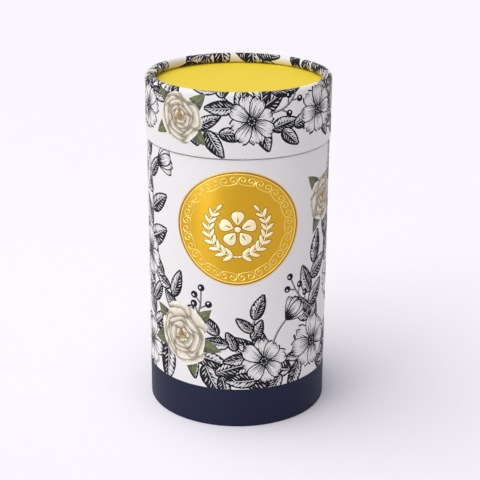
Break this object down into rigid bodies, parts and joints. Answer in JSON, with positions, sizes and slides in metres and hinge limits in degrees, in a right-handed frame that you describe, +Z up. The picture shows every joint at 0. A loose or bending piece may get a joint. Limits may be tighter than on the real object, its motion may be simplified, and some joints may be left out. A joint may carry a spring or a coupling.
{
  "type": "cylindrical gift tube box",
  "caption": "Round paperboard gift canister with a lift-off rolled-rim lid on an inner neck, a lined hollow body, a round foil label and a plain foot band.",
  "frame": {"origin": "middle of the foot, on the surface that the tube stands on", "axes": "+Z up along the tube's axis; the label faces -Y"},
  "size_m": [0.075, 0.075, 0.14],
  "materials": {
    "printed_paper": "matt white art paper with a dark floral print",
    "navy_paper": "matt navy paper",
    "yellow_paper": "matt yellow paper",
    "white_paper": "matt white lining paper",
    "foil_lining": "satin aluminium-faced lining paper",
    "gold_foil": "satin gold foil paper",
    "grey_board": "wound grey board"
  },
  "bodies": {
    "tube": {"body_tube": "grey_board", "body_wrap": "printed_paper", "base_band": "navy_paper", "label": "gold_foil", "neck_tube": "grey_board", "neck_facing": "white_paper", "neck_lining": "foil_lining", "base_lining": "foil_lining", "base_board": "grey_board", "base_paper": "navy_paper"},
    "lid": {"lid_tube": "grey_board", "lid_wrap": "printed_paper", "lid_lining": "white_paper", "lid_top_paper": "yellow_paper", "lid_top_board": "grey_board", "lid_under_paper": "white_paper"}
  },
  "joints": [
    {"name": "lid_lift", "type": "slide", "parent": "tube", "child": "lid", "axis": [0, 0, 1], "range_m": [0, 0.1]}
  ]
}
